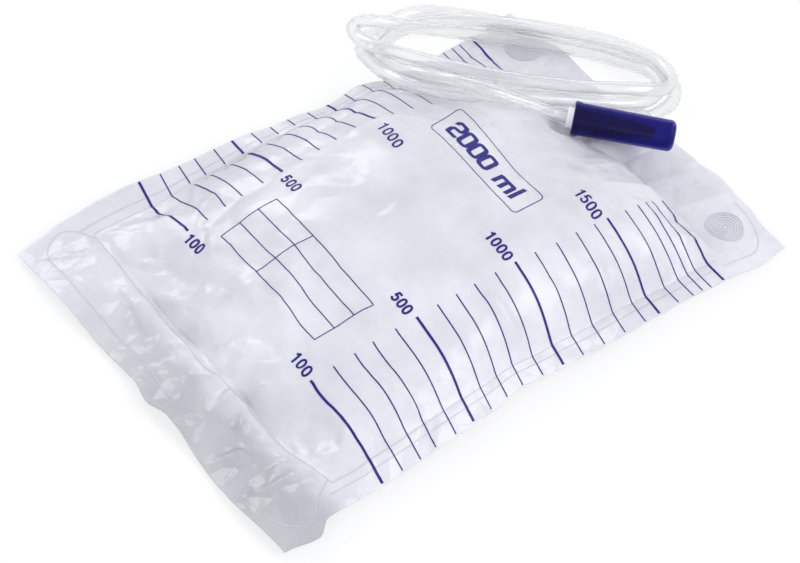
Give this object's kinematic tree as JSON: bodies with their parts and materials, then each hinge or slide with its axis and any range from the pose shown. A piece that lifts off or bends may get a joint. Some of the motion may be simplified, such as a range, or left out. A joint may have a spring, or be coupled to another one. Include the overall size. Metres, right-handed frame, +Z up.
{
  "type": "urine drainage bag",
  "caption": "Flat film drainage bag with a printed level scale, an inlet tube wound in a loose coil, and a capped tube connector.",
  "frame": {"origin": "middle of the bag's flat underside, on the surface that it lies on", "axes": "+Z up, +X across the bag, +Y along the bag towards its inlet edge"},
  "size_m": [0.2349, 0.3386, 0.0425],
  "materials": {
    "front_film": "milky clear film with navy print",
    "back_film": "milky clear film",
    "inlet_sleeve": "clear soft plastic",
    "valve_film": "thin clear film",
    "clear_tube": "clear soft tube",
    "connector_blue": "moulded plastic",
    "cap_blue": "glossy dark blue plastic, lighter at its edges"
  },
  "bodies": {
    "bag": {"back_film": "back_film", "front_film": "front_film", "inlet_port": "inlet_sleeve", "non_return_valve": "valve_film", "drainage_tube": "clear_tube", "tube_connector": "connector_blue"},
    "cap": {"connector_cap": "cap_blue"}
  },
  "joints": [
    {"name": "cap_slide", "type": "slide", "parent": "bag", "child": "cap", "axis": [0.7547, 0.6561, 0], "range_m": [0, 0.042]}
  ]
}
